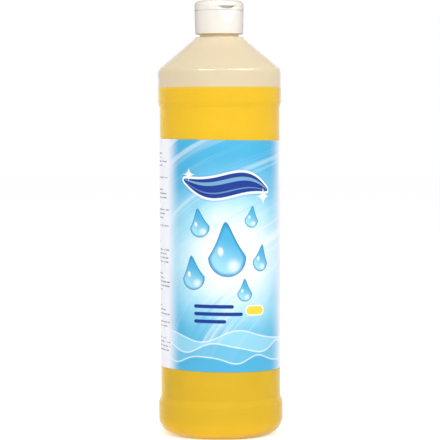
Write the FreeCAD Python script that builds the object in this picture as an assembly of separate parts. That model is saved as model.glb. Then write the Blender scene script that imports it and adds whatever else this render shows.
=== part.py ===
import FreeCAD, Part
import math
import os

# Round one-litre dish soap bottle with a wrap label and a flip-top screw cap.
# Millimetres. The bottle stands on the plane Z = 0, its axis is the Z axis,
# and the label's front looks along -Y.

# Bottle body
body_diameter = 80.2
wall = 0.75
panel_depth = 1.0
contact_ring_inner_diameter = 61.2
contact_ring_outer_diameter = 66.0
heel_diameter = 76.0
heel_height = 3.6
corner_height = 9.0
lower_band_diameter = 81.5
corner_rounding = 8.0
push_up = 5.0
push_up_flat_diameter = 24.0
push_up_rim_diameter = 52.0
push_up_rim_height = 3.2
push_up_rim_rounding = 0.7
pinch_line_width = 1.0
pinch_line_length = 32.0
pinch_line_drop = 0.5
lower_band_height = 21.2
lower_step_height = 3.9
panel_height = 188.5
upper_step_height = 3.3
upper_band_height = 21.3
step_rounding = 1.2
shoulder_angle = 39.9
shoulder_rounding = 5.0

# Bottle neck
ledge_diameter = 31.9
ledge_height = 0.9
throat_margin = 1.25
neck_node_drop = 0.7
neck_diameter = 25.6
bore_diameter = 21.5
finish_height = 14.9
land_chamfer = 0.5

# Screw thread between the neck and the cap
thread_pitch = 4.233
thread_turns = 1.5
thread_depth = 1.05
thread_root_width = 2.2
thread_crest_width = 1.0
thread_top_margin = 1.7
thread_play = 0.15
thread_radial_play = 0.25
thread_start_angle = 90.0
cap_thread_depth = 0.95
cap_thread_root_width = 2.0
cap_thread_crest_width = 0.9
thread_sink = 0.3

# Contents and label
fill_drop = 11.4
liquid_gap = 0.1
label_thickness = 0.15
label_glue_gap = 0.03
label_margin_bottom = 19.4
label_margin_top = 20.8
label_skew = 1.1
label_turn = 9.0
label_seam_gap = 5.0

# Cap: the closure screwed on the neck, the lid and the film between them
closure_turn = 20.6
cap_wall = 1.9
cap_draft = 1.6
cap_gap = 2.0
cap_foot_rounding = 0.5
cap_mouth_chamfer = 0.4
deck_thickness = 1.5
deck_disc_diameter = 20.8
deck_disc_height = 0.6
spout_diameter = 9.4
spout_height = 2.6
spout_rounding = 0.4
orifice_diameter = 6.2
orifice_chamfer = 0.4
seal_thickness = 0.8
seal_side_gap = 0.35
seal_bore_gap = 0.15
parting_gap = 0.1
parting_rounding = 0.25
lid_height = 6.3
lid_rounding = 4.0
lid_wall = 1.6
lid_top_wall = 1.5
plug_play = 0.15
plug_taper = 0.3
plug_length = 2.7
lip_thickness = 3.7
scoop_top_depth = 2.05
scoop_length = 11.3
scoop_hollow_radius = 60.0
scoop_back_wall = 1.2
lip_pocket_width = 10.1
lip_pocket_height = 1.75
lip_pocket_depth = 1.5
film_width = 9.0
film_thickness = 0.5
film_reach = 0.6

# Radii
body_radius = body_diameter / 2
lower_band_radius = lower_band_diameter / 2
panel_radius = body_radius - panel_depth
neck_radius = neck_diameter / 2
bore_radius = bore_diameter / 2
ledge_radius = ledge_diameter / 2
throat_radius = ledge_radius + throat_margin
cap_bore_radius = neck_radius + thread_depth + thread_radial_play
cap_radius = cap_bore_radius + cap_wall
cap_diameter = 2 * cap_radius

# Heights, from the base up
panel_bottom = lower_band_height + lower_step_height
panel_top = panel_bottom + panel_height
upper_band_bottom = panel_top + upper_step_height
shoulder_edge = upper_band_bottom + upper_band_height
shoulder_slope = math.tan(math.radians(shoulder_angle))
ledge_bottom = shoulder_edge + (body_radius - ledge_radius) * shoulder_slope
ledge_top = ledge_bottom + ledge_height
land = ledge_top + finish_height
fill_level = shoulder_edge - fill_drop
cap_foot = ledge_top + cap_gap
deck_bottom = land + seal_thickness
deck_top = deck_bottom + deck_thickness
lid_foot = deck_top + parting_gap
lid_top = lid_foot + lid_height
lip_underside = lid_top - lip_thickness

UP = FreeCAD.Vector(0, 0, 1)
ORIGIN = FreeCAD.Vector(0, 0, 0)


def at(radius, height):
    """A point of a section drawn in the plane Y = 0."""
    return FreeCAD.Vector(radius, 0, height)


def rounded_line(corners):
    """Edges through corners (radius, height, rounding), each corner rounded by an arc."""
    edges = []
    start = at(corners[0][0], corners[0][1])
    for before, corner, after in zip(corners, corners[1:], corners[2:]):
        here = at(corner[0], corner[1])
        back = at(before[0], before[1]) - here
        ahead = at(after[0], after[1]) - here
        room = 0.49 * min(back.Length, ahead.Length)
        half_angle = back.getAngle(ahead) / 2
        reach = min(corner[2] / math.tan(half_angle), room)
        if reach < 1e-6:
            edges.append(Part.LineSegment(start, here).toShape())
            start = here
            continue
        rounding = reach * math.tan(half_angle)
        back.normalize()
        ahead.normalize()
        middle_way = back + ahead
        middle_way.normalize()
        arc_start = here + back * reach
        arc_end = here + ahead * reach
        arc_middle = here + middle_way * (rounding / math.sin(half_angle) - rounding)
        if (arc_start - start).Length > 1e-6:
            edges.append(Part.LineSegment(start, arc_start).toShape())
        edges.append(Part.Arc(arc_start, arc_middle, arc_end).toShape())
        start = arc_end
    edges.append(Part.LineSegment(start, at(corners[-1][0], corners[-1][1])).toShape())
    return edges


def shifted_line(corners, distance):
    """The corners moved to the inner side of the line by a distance, with matching roundings."""
    normals = []
    for first, second in zip(corners, corners[1:]):
        along = at(second[0] - first[0], second[1] - first[1])
        along.normalize()
        normals.append(at(-along.z, along.x))
    moved = []
    for index, corner in enumerate(corners):
        left = normals[max(index - 1, 0)]
        right = normals[min(index, len(normals) - 1)]
        shift = (left + right) * (distance / (1 + left.dot(right)))
        turns_inwards = left.x * right.z - left.z * right.x > 0
        rounding = corner[2] - distance if turns_inwards else corner[2] + distance
        if corner[2] == 0:
            rounding = 0
        moved.append((corner[0] + shift.x, corner[1] + shift.z, max(rounding, 0)))
    return moved


def turned(corners, angle=360):
    """A solid turned about the Z axis from a closed section."""
    edges = rounded_line(corners)
    edges.append(Part.LineSegment(at(*corners[-1][:2]), at(*corners[0][:2])).toShape())
    face = Part.Face(Part.Wire(Part.__sortEdges__(edges)))
    return face.revolve(ORIGIN, UP, angle)


def body_line():
    """The outside of the body from the middle of the base up to the ledge under the neck."""
    return [
        (0, push_up, 0),
        (push_up_flat_diameter / 2, push_up, corner_rounding),
        (push_up_rim_diameter / 2, push_up_rim_height, push_up_rim_rounding),
        (contact_ring_inner_diameter / 2, 0, step_rounding),
        (contact_ring_outer_diameter / 2, 0, 2 * step_rounding),
        (heel_diameter / 2, heel_height, corner_rounding),
        (lower_band_radius, corner_height, corner_rounding),
        (lower_band_radius, lower_band_height, step_rounding),
        (panel_radius, panel_bottom, step_rounding),
        (panel_radius, panel_top, step_rounding),
        (body_radius, upper_band_bottom, step_rounding),
        (body_radius, shoulder_edge, shoulder_rounding),
        (ledge_radius, ledge_bottom, 0),
    ]


def thread_ridge(root_radius, depth, root_width, crest_width, bottom, inwards):
    """A helical ridge on a round wall; it stands outwards, or inwards in a bore."""
    side = -1 if inwards else 1
    sunk_radius = root_radius - side * thread_sink
    crest_radius = root_radius + side * depth
    flank = (root_width - crest_width) / 2 / depth
    sunk_half_width = root_width / 2 + flank * thread_sink
    corners = [
        at(sunk_radius, -sunk_half_width),
        at(crest_radius, -crest_width / 2),
        at(crest_radius, crest_width / 2),
        at(sunk_radius, sunk_half_width),
    ]
    section = Part.makePolygon(corners + corners[:1])
    helix = Part.makeHelix(thread_pitch, thread_pitch * thread_turns, root_radius)
    ridge = Part.Wire(helix.Edges).makePipeShell([section], True, True)
    ridge.rotate(ORIGIN, UP, thread_start_angle)
    ridge.translate(FreeCAD.Vector(0, 0, bottom))
    return ridge


neck_thread_bottom = land - thread_top_margin - thread_pitch * thread_turns
neck_foot = ledge_bottom - neck_node_drop


def make_bottle():
    """Blow-moulded shell without its thread: body, shoulder, neck and pushed-up base.

    Its neck becomes a node of its own, so that each of the two is a simple hollow shape.
    """
    outside = body_line() + [
        (ledge_radius, ledge_top, 0),
        (neck_radius, ledge_top, 0),
        (neck_radius, land - land_chamfer, 0),
        (neck_radius - land_chamfer, land, 0),
        (bore_radius, land, 0),
    ]
    inside = shifted_line(body_line(), wall)
    cone_radius, cone_height, _ = inside[-1]
    throat_height = cone_height - (throat_radius - cone_radius) * shoulder_slope
    inside[-1:] = [(throat_radius, throat_height, step_rounding), (bore_radius, ledge_bottom, 0)]
    shell = turned(outside + inside[::-1])
    pinch_line = Part.makeBox(
        pinch_line_length,
        pinch_line_width,
        pinch_line_drop + wall / 2,
        FreeCAD.Vector(-pinch_line_length / 2, -pinch_line_width / 2, push_up - pinch_line_drop),
    )
    return shell.fuse(pinch_line)


def make_neck_thread(shell):
    """Thread of the blow-moulded shell, as far as it stands proud of the neck."""
    ridge = thread_ridge(
        neck_radius,
        thread_depth,
        thread_root_width,
        thread_crest_width,
        neck_thread_bottom,
        inwards=False,
    )
    return ridge.cut(shell)


def room_above(height):
    """A block that holds everything above a height; the bottle's neck is taken off its body with it."""
    corner = FreeCAD.Vector(-body_diameter, -body_diameter, height)
    return Part.makeBox(2 * body_diameter, 2 * body_diameter, land, corner)


def make_liquid():
    """The dish soap, which fills the shell up to the fill level."""
    clearance = wall + liquid_gap
    outline = shifted_line(body_line(), clearance)[:-2]
    return turned(outline + [(body_radius - clearance, fill_level, 0), (0, fill_level, 0)])


def make_label():
    """Thin sheet wrapped round the panel a little askew, with a gap between its ends at the back."""
    inner_radius = panel_radius + label_glue_gap
    bottom = panel_bottom + label_margin_bottom
    height = panel_height - label_margin_bottom - label_margin_top
    sheet = Part.makeCylinder(inner_radius + label_thickness, panel_height, at(0, panel_bottom))
    sheet = sheet.cut(Part.makeCylinder(inner_radius, panel_height, at(0, panel_bottom)))
    slab = Part.makeBox(
        2 * body_diameter,
        2 * body_diameter,
        height,
        FreeCAD.Vector(-body_diameter, -body_diameter, bottom),
    )
    slab.rotate(at(0, bottom + height / 2), FreeCAD.Vector(0, 1, 0), label_skew)
    seam = Part.makeBox(
        label_seam_gap,
        body_diameter,
        panel_height,
        FreeCAD.Vector(-label_seam_gap / 2, 0, panel_bottom),
    )
    seam.rotate(ORIGIN, UP, label_turn)
    return sheet.common(slab).cut(seam)


def cap_wall_radius(height):
    """Radius of the closure's tapered outside at a height."""
    return cap_radius - (deck_top - height) * math.tan(math.radians(cap_draft))


def scoop(extra=0):
    """Cutter for the thumb scoop at the cap's front, which looks along -Y here."""
    low = lip_underside - scoop_length
    foot = FreeCAD.Vector(0, -cap_wall_radius(low), low)
    head = FreeCAD.Vector(0, scoop_top_depth - cap_radius, lip_underside)
    along = head - foot
    along.normalize()
    outwards = FreeCAD.Vector(0, -along.z, along.y)
    start = foot + outwards * scoop_hollow_radius - along * cap_diameter
    groove = Part.makeCylinder(scoop_hollow_radius + extra, 3 * cap_diameter, start, along)
    room = Part.makeBox(
        cap_diameter,
        cap_diameter,
        cap_diameter,
        FreeCAD.Vector(-cap_radius, -cap_diameter, lip_underside + extra - cap_diameter),
    )
    return groove.common(room)


def lip_pocket(extra=0):
    """Cutter for the shallow finger pocket under the lid's lip, flat on top and round below."""
    half_width = lip_pocket_width / 2
    arc_radius = (half_width**2 + lip_pocket_height**2) / (2 * lip_pocket_height)
    depth = cap_radius - scoop_top_depth - lip_pocket_depth
    centre = FreeCAD.Vector(0, -cap_diameter, lip_underside - lip_pocket_height + arc_radius)
    drum = Part.makeCylinder(
        arc_radius + extra, cap_diameter - depth + extra, centre, FreeCAD.Vector(0, 1, 0)
    )
    room = Part.makeBox(
        cap_diameter,
        cap_diameter,
        cap_diameter,
        FreeCAD.Vector(-cap_radius, -cap_diameter, lip_underside + extra - cap_diameter),
    )
    return drum.common(room)


def make_closure_base():
    """Screw closure: skirt with its inside thread, deck, raised disc and pouring spout."""
    disc_radius = deck_disc_diameter / 2
    disc_top = deck_top + deck_disc_height
    spout_radius = spout_diameter / 2
    spout_top = disc_top + spout_height
    orifice_radius = orifice_diameter / 2
    shape = turned([
        (orifice_radius, deck_bottom, 0),
        (cap_bore_radius, deck_bottom, 0),
        (cap_bore_radius, cap_foot + cap_mouth_chamfer, 0),
        (cap_bore_radius + cap_mouth_chamfer, cap_foot, 0),
        (cap_wall_radius(cap_foot), cap_foot, cap_foot_rounding),
        (cap_radius, deck_top, parting_rounding),
        (disc_radius, deck_top, 0),
        (disc_radius, disc_top, parting_rounding),
        (spout_radius, disc_top, spout_rounding),
        (spout_radius, spout_top, spout_rounding),
        (orifice_radius + orifice_chamfer, spout_top, 0),
        (orifice_radius, spout_top - orifice_chamfer, 0),
    ])
    shape = shape.cut(scoop())
    shape.rotate(ORIGIN, UP, closure_turn)
    contact_drop = thread_play + (thread_root_width + cap_thread_crest_width) / 2
    overlap_depth = thread_depth - (cap_bore_radius - cap_thread_depth - neck_radius)
    flank_relief = overlap_depth * (thread_root_width - thread_crest_width) / 2 / thread_depth
    ridge = thread_ridge(
        cap_bore_radius,
        cap_thread_depth,
        cap_thread_root_width,
        cap_thread_crest_width,
        neck_thread_bottom - contact_drop + flank_relief / 2,
        inwards=True,
    )
    return shape.fuse(ridge)


def make_flip_lid():
    """Lid with its overhanging lip, finger pocket and the plug that closes the spout."""
    outside = turned([
        (0, lid_foot, 0),
        (cap_radius, lid_foot, parting_rounding),
        (cap_radius, lid_top, lid_rounding),
        (0, lid_top, 0),
    ])
    ceiling = lid_top - lid_top_wall
    hollow = turned([
        (0, lid_foot - parting_gap, 0),
        (cap_radius - lid_wall, lid_foot - parting_gap, 0),
        (cap_radius - lid_wall, ceiling, lid_rounding - lid_wall),
        (0, ceiling, 0),
    ])
    hollow = hollow.cut(scoop(scoop_back_wall)).cut(lip_pocket(scoop_back_wall))
    plug_radius = orifice_diameter / 2 - plug_play
    plug = turned([
        (0, ceiling + lid_top_wall / 2, 0),
        (plug_radius, ceiling + lid_top_wall / 2, 0),
        (plug_radius, ceiling, 0),
        (plug_radius - plug_taper, ceiling - plug_length, parting_rounding),
        (0, ceiling - plug_length, 0),
    ])
    shape = outside.cut(hollow).cut(scoop()).cut(lip_pocket()).fuse(plug)
    shape.rotate(ORIGIN, UP, closure_turn)
    return shape


def make_living_hinge():
    """Thin film at the cap's back, across the parting line between closure and lid."""
    half_angle = math.degrees(math.asin(film_width / 2 / cap_radius))
    low = deck_top - film_reach
    high = lid_foot + film_reach
    outer_radius = cap_radius + film_thickness
    film = turned(
        [
            (cap_wall_radius(low), low, 0),
            (outer_radius, low + film_thickness / 2, 0),
            (outer_radius, high - film_thickness / 2, 0),
            (cap_radius, high, 0),
            (cap_radius, deck_top, 0),
        ],
        2 * half_angle,
    )
    film.rotate(ORIGIN, UP, 90 - half_angle + closure_turn)
    return film


def make_seal_ring():
    """Foam gasket between the land of the neck and the underside of the deck."""
    outer_radius = cap_bore_radius - seal_side_gap
    ring = Part.makeCylinder(outer_radius, seal_thickness, at(0, land))
    return ring.cut(Part.makeCylinder(bore_radius - seal_bore_gap, seal_thickness, at(0, land)))


bottle = make_bottle()
upper_room = room_above(neck_foot)

parts = {
    "bottle": bottle.cut(upper_room),
    "bottle_neck": bottle.common(upper_room),
    "neck_thread": make_neck_thread(bottle),
    "liquid": make_liquid(),
    "label": make_label(),
    "closure_base": make_closure_base(),
    "flip_lid": make_flip_lid(),
    "living_hinge": make_living_hinge(),
    "seal_ring": make_seal_ring(),
}

os.makedirs("parts", exist_ok=True)
for name, shape in parts.items():
    if not shape.isValid() or len(shape.Solids) != 1:
        raise ValueError(f"{name} is not one valid solid")
    shape.Solids[0].exportStep(f"parts/{name}.step")
    box = shape.BoundBox
    print(f"{name}: volume {shape.Volume:.1f} mm3, height {box.ZMin:.2f} to {box.ZMax:.2f} mm")

print(f"Hinge axis: radius {cap_radius + film_thickness / 2:.3f}, height {deck_top + parting_gap / 2:.3f} mm")
print(f"Cap rise over the thread: {thread_pitch * thread_turns:.4f} mm")
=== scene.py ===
import math
from functools import partialmethod

import bmesh
import bpy
from bpy.props import FloatProperty, FloatVectorProperty, IntProperty, PointerProperty
from bpy.types import Operator, Panel, PropertyGroup
from mathutils import Matrix, Vector


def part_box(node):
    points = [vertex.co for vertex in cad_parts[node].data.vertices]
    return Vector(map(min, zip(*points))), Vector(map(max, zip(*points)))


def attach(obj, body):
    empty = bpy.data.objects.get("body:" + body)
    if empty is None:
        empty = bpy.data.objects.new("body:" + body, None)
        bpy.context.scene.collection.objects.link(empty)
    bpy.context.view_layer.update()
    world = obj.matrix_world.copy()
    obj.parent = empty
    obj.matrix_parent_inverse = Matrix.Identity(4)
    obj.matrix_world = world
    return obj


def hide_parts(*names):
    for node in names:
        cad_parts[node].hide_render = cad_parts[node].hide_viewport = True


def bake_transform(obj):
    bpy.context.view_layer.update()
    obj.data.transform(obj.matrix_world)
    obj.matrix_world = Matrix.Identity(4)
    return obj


bl_info = {
    "name": "Dish Soap Bottle",
    "version": (1, 0, 0),
    "blender": (4, 5, 0),
    "location": "3D View > Sidebar > Soap Bottle",
    "description": "Dresses the fixed frame of a one-litre dish soap bottle with its pieces and materials",
    "category": "Object",
}

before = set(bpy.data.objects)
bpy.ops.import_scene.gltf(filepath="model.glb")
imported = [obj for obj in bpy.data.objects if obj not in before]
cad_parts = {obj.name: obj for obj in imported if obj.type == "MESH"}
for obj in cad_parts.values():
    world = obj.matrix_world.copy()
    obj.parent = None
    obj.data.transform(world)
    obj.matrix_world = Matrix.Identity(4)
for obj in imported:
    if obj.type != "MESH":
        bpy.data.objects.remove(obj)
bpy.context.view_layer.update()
BOTTLE_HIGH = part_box("bottle")[1]
SOAP_LOW, SOAP_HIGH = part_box("liquid")
LAND_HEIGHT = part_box("seal_ring")[0].z
BLOWN_NODES = ["bottle", "bottle_neck", "neck_thread"]
MILLIMETRES = 1000
WHITE = (1.0, 1.0, 1.0, 1.0)


# Properties


def linear(red, green, blue):
    """A display colour of 0 to 255 as the linear colour that a material takes."""
    shares = [channel / 255 for channel in (red, green, blue)]
    return tuple(s / 12.92 if s <= 0.04045 else ((s + 0.055) / 1.055) ** 2.4 for s in shares)


def length(name, millimetres, description):
    """A length property whose default is given in millimetres."""
    default = millimetres / MILLIMETRES
    return FloatProperty(
        name=name, description=description, default=default, min=0.0, precision=5, unit="LENGTH"
    )


def angle(name, degrees, description):
    """An angle property whose default is given in degrees."""
    return FloatProperty(name=name, description=description, default=math.radians(degrees), subtype="ANGLE")


def share(name, default, description, high=1.0):
    """A plain number from 0 up."""
    return FloatProperty(name=name, description=description, default=default, min=0.0, max=high)


def tint(name, red, green, blue, description):
    """A colour property whose default is given as a display colour."""
    return FloatVectorProperty(
        name=name, description=description, default=linear(red, green, blue), subtype="COLOR", min=0.0, max=1.0
    )


class SoapBottleSizes(PropertyGroup):
    """Sizes of the pieces that are made here; they repeat the frame's own."""

    body_diameter: length("Body diameter", 80.2, "Across the upper band")
    lower_band_diameter: length(
        "Lower band diameter", 2 * BOTTLE_HIGH.x * MILLIMETRES, "Across the band at the foot, the widest place"
    )
    wall: length("Wall", 0.75, "Thickness of the blown wall")
    wall_ripple: length("Wall ripple", 0.07, "How far the blown wall wanders inwards")
    panel_depth: length("Panel depth", 1.0, "How far the label panel is set in from the bands")
    ring_inner_diameter: length("Contact ring inside", 61.2, "Inner edge of the ring that the bottle stands on")
    ring_outer_diameter: length("Contact ring outside", 66.0, "Outer edge of the ring that it stands on")
    heel_diameter: length("Heel diameter", 76.0, "Diameter in the middle of the heel's curve")
    heel_height: length("Heel height", 3.6, "Height of the middle of the heel's curve")
    corner_height: length("Corner height", 9.0, "Where the heel meets the lower band")
    corner_rounding: length("Corner rounding", 8.0, "Radius of the heel's curves")
    push_up: length("Push-up", 5.0, "How far the middle of the base is pushed up")
    push_up_flat: length("Push-up flat", 24.0, "Diameter of the flat in the middle of the base")
    push_up_rim: length("Push-up rim", 52.0, "Diameter at which the push-up steepens")
    push_up_rim_height: length("Push-up rim height", 3.2, "Height at which the push-up steepens")
    pinch_length: length("Pinch line length", 32.0, "Length of the mould's pinch line under the base")
    pinch_width: length("Pinch line width", 1.0, "Width of the mould's pinch line")
    pinch_drop: length("Pinch line drop", 0.5, "How far the pinch line stands out of the base")
    lower_band: length("Lower band height", 21.2, "Top of the band at the foot")
    lower_step: length("Lower step", 3.9, "Height of the slope from the lower band to the panel")
    panel_height: length("Panel height", 188.5, "Height of the set-in label panel")
    upper_step: length("Upper step", 3.3, "Height of the slope from the panel to the upper band")
    upper_band: length("Upper band height", 21.3, "Height of the band under the shoulder")
    step_rounding: length("Step rounding", 1.2, "Radius at the label panel's ends")
    band_rounding: length("Band rounding", 2.6, "Radius at the bands' edges towards the label panel")
    shoulder_angle: angle("Shoulder angle", 39.9, "Slope of the conical shoulder")
    shoulder_rounding: length("Shoulder rounding", 5.0, "Radius between band and shoulder")
    ledge_diameter: length("Ledge diameter", 31.9, "Diameter of the ledge under the neck")
    ledge_height: length("Ledge height", 0.9, "Height of the ledge's rim")
    ledge_rounding: length("Ledge rounding", 0.35, "Radius at the ledge")
    neck_diameter: length("Neck diameter", 25.6, "Outside of the neck without its thread")
    bore_diameter: length("Bore diameter", 21.5, "Inside of the neck")
    throat_margin: length("Throat margin", 1.25, "How far the throat is wider than the ledge, in radius")
    land_chamfer: length("Land chamfer", 0.5, "Chamfer at the neck's mouth")
    thread_pitch: length("Thread pitch", 4.233, "Rise of the neck's thread in one turn")
    thread_turns: share("Thread turns", 1.5, "Turns of the neck's thread", 4.0)
    thread_depth: length("Thread depth", 1.05, "How far the thread stands out of the neck")
    thread_root: length("Thread root", 2.2, "Width of the thread at the neck")
    thread_crest: length("Thread crest", 1.0, "Width of the thread at its crest")
    thread_margin: length("Thread margin", 1.7, "Room between the thread's end and the mouth")
    soap_gap: length("Soap gap", 0.1, "Room between the wall and the soap's surface")
    meniscus: length("Meniscus", 0.7, "How far the soap climbs at the wall")
    label_gap: length("Label glue", 0.03, "Thickness of the glue under the label")
    label_thickness: length("Label thickness", 0.15, "Thickness of the label film")
    label_bottom: length("Label bottom margin", 19.4, "From the panel's foot to the label")
    label_top: length("Label top margin", 20.8, "From the label to the panel's top")
    label_seam: length("Label seam", 5.0, "Bare strip between the label's ends at the back")
    label_skew: angle("Label skew", 1.1, "How far the label's edges are out of level")
    label_turn: angle("Label turn", 9.0, "Turn of the label's middle from the front, to the right")
    closure_turn: angle("Closure turn", 20.6, "Turn of the cap's scoop from the front, to the right")
    hinge_radius: length("Hinge radius", 16.25, "From the bottle's axis to the lid's hinge axis")
    hinge_height: length("Hinge height", 276.5425, "Height of the lid's hinge axis")
    film_width: length("Hinge film width", 9.0, "Width of the film between closure and lid")
    segments: IntProperty(name="Segments", description="Faces round the bottle", default=192, min=24, max=512)


class SoapBottleColours(PropertyGroup):
    """Colours of the materials."""

    plastic: tint("Natural plastic", 240, 224, 190, "Milky wall over the empty headspace")
    # Painted glow: an ochre tint for a band of the neck under the cap, which also glows, standing in for light
    # gathered in the thick plastic.
    neck: tint("Neck plastic", 240, 204, 140, "Thick wall of the neck, where the light gathers")
    wetted: tint("Wetted plastic", 255, 216, 48, "The wall with soap behind it")
    wetted_deep: tint("Deep wetted plastic", 244, 205, 48, "The wall with soap behind it near the base")
    # Painted shade: a darker gold for the wetted wall where it turns away from the eye.
    wetted_edge_shade: tint("Edge of the wetted plastic", 216, 176, 8, "The wetted wall where it turns away")
    soap: tint("Soap", 252, 200, 14, "The soap near its surface")
    soap_deep: tint("Deep soap", 234, 198, 34, "The soap near the base")
    cap: tint("Cap", 232, 227, 219, "Moulded white plastic of the closure and lid")
    foam: tint("Foam", 232, 230, 222, "Gasket under the closure")
    label_side: tint("Label side", 247, 248, 255, "Pale side panels of the label")
    label_deep: tint("Label azure", 72, 174, 216, "Deepest blue of the label's field")
    label_light: tint("Label light", 158, 218, 238, "Pale blue of the label's field")
    label_white: tint("Label white", 242, 247, 250, "White of the label's glow, rims and lights")
    label_navy: tint("Label navy", 10, 52, 142, "Ribbon and bars on the label")
    label_rim: tint("Label rim", 28, 128, 188, "Rims of the drops on the label")
    label_accent: tint("Label accent", 255, 214, 60, "Small yellow marks on the label")
    # Painted shade: a greyer colour for the cap's plastic where it turns away from the eye, standing in for the
    # shade at its sides.
    painted_cap_edge_shade: tint("Cap edge", 192, 184, 176, "The cap's plastic where it turns away from the eye")
    print_ink: tint("Small print", 84, 84, 92, "Small print on the label's side panels")


class SoapBottleStage(PropertyGroup):
    """Lamps, room and camera."""

    left_lamp: share("Left lamp", 2.5, "Power of the soft lamp at the front left, in watts", 100.0)
    right_lamp: share("Right lamp", 4.2, "Power of the soft lamp at the front right, in watts", 100.0)
    front_lamp: share("Front lamp", 8.2, "Power of the wide lamp beside the camera, in watts", 100.0)
    rim_lamp: share("Rim lamp", 0.8, "Power of the soft lamp at the far left, in watts", 100.0)
    left_gleam: share("Left gleam", 20.0, "Power of the left lamp as it is mirrored, in watts", 100.0)
    right_gleam: share("Right gleam", 30.0, "Power of the right lamp as it is mirrored, in watts", 100.0)
    room_light: share("Room light", 0.64, "Strength of the light from all sides")
    floor_white: share("Floor white", 0.4, "Light that the floor shows to the camera on top of its own")
    lens: FloatProperty(name="Lens", description="Focal length in millimetres", default=174.1, min=10.0)
    distance: length("Camera distance", 1392.0, "From the bottle's axis to the camera")
    height: length("Camera height", 208.05, "Height of the camera above the floor")
    pitch: angle("Camera pitch", 2.798, "How far the camera looks down")
    roll: angle("Camera roll", -0.25, "Turn of the camera about its line of sight")


# Node trees


class TreeBuilder:
    """Adds nodes to one tree: an input that is given a socket is linked, any other value is set."""

    def __init__(self, tree):
        self.tree = tree

    def feed(self, socket, value):
        """Links another socket to an input, or sets the input's own value."""
        if isinstance(value, bpy.types.NodeSocket):
            self.tree.links.new(value, socket)
        else:
            socket.default_value = value

    def add(self, kind, settings=None, inputs=None):
        """A new node with its settings and inputs; the nodes stand in rows of twelve."""
        node = self.tree.nodes.new(kind)
        count = len(self.tree.nodes)
        node.location = (220 * (count % 12), -280 * (count // 12))
        for name, value in (settings or {}).items():
            setattr(node, name, value)
        for name, value in (inputs or {}).items():
            self.feed(node.inputs[name], value)
        return node

    def math(self, operation, first, second=0.0, third=0.0):
        node = self.add("ShaderNodeMath", {"operation": operation}, {0: first, 1: second, 2: third})
        return node.outputs[0]

    plus = partialmethod(math, "ADD")
    minus = partialmethod(math, "SUBTRACT")
    times = partialmethod(math, "MULTIPLY")
    over = partialmethod(math, "DIVIDE")
    times_plus = partialmethod(math, "MULTIPLY_ADD")

    def far(self, across, up):
        """The length of a flat vector."""
        squares = [self.math("POWER", side, 2.0) for side in (across, up)]
        return self.math("SQRT", self.plus(*squares))

    def vector(self, x=0.0, y=0.0, z=0.0):
        return self.add("ShaderNodeCombineXYZ", None, {0: x, 1: y, 2: z}).outputs[0]

    def parts_of(self, vector):
        return self.add("ShaderNodeSeparateXYZ", None, {0: vector}).outputs

    def vector_math(self, operation, first, second=(0.0, 0.0, 0.0)):
        return self.add("ShaderNodeVectorMath", {"operation": operation}, {0: first, 1: second}).outputs[0]

    def scaled(self, vector, factor):
        return self.add("ShaderNodeVectorMath", {"operation": "SCALE"}, {0: vector, "Scale": factor}).outputs[0]

    def step(self, value, start, end, low=0.0, high=1.0):
        """A smooth step from low at start to high at end."""
        node = self.add(
            "ShaderNodeMapRange",
            {"interpolation_type": "SMOOTHSTEP"},
            {"Value": value, "From Min": start, "From Max": end, "To Min": low, "To Max": high},
        )
        return node.outputs["Result"]

    def between(self, factor, first, second):
        node = self.add("ShaderNodeMix", {"data_type": "FLOAT"}, {0: factor, 2: first, 3: second})
        return node.outputs[0]

    def colour(self, factor, first, second):
        """The second colour laid over the first by a factor; a colour is a socket or three numbers."""
        first, second = [c if isinstance(c, bpy.types.NodeSocket) else (*c, 1.0) for c in (first, second)]
        node = self.add("ShaderNodeMix", {"data_type": "RGBA"}, {0: factor, 6: first, 7: second})
        return node.outputs[2]

    def noise(self, vector, scale, detail=2.0, roughness=0.5, seed=0.0):
        node = self.add(
            "ShaderNodeTexNoise",
            {"noise_dimensions": "4D"},
            {"Vector": vector, "W": seed, "Scale": scale, "Detail": detail, "Roughness": roughness},
        )
        return node.outputs[0]

    def random(self, seed):
        return self.add("ShaderNodeTexWhiteNoise", {"noise_dimensions": "1D"}, {"W": seed}).outputs["Value"]

    def object_place(self):
        return self.add("ShaderNodeTexCoord").outputs["Object"]

    def group(self, tree, inputs):
        kind = "GeometryNodeGroup" if self.tree.bl_idname == "GeometryNodeTree" else "ShaderNodeGroup"
        return self.add(kind, {"node_tree": tree}, inputs).outputs


SOCKETS = {
    "geometry": "NodeSocketGeometry",
    "number": "NodeSocketFloat",
    "whole": "NodeSocketInt",
    "colour": "NodeSocketColor",
    "vector": "NodeSocketVector",
    "material": "NodeSocketMaterial",
}


def new_tree(kind, name, inputs, outputs):
    """A node tree with named inputs (name, socket kind, default) and outputs, its builder and its two ends."""
    tree = bpy.data.node_groups.new(name, kind)
    for label, socket, default in inputs:
        made = tree.interface.new_socket(label, in_out="INPUT", socket_type=SOCKETS[socket])
        if default is not None:
            made.default_value = default
    for label, socket in outputs:
        tree.interface.new_socket(label, in_out="OUTPUT", socket_type=SOCKETS[socket])
    build = TreeBuilder(tree)
    taken = build.add("NodeGroupInput").outputs
    given = build.add("NodeGroupOutput").inputs
    return tree, build, taken, given


def close_shape(build, geometry, material):
    """Closes doubled points, shades the shape smooth and gives it its material."""
    merged = build.add("GeometryNodeMergeByDistance", None, {"Geometry": geometry, "Distance": 2e-6})
    smooth = build.add("GeometryNodeSetShadeSmooth", None, {"Geometry": merged.outputs[0]})
    real = build.add("GeometryNodeRealizeInstances", None, {"Geometry": smooth.outputs[0]})
    done = build.add("GeometryNodeSetMaterial", None, {"Geometry": real.outputs[0], "Material": material})
    return done.outputs[0]


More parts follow.
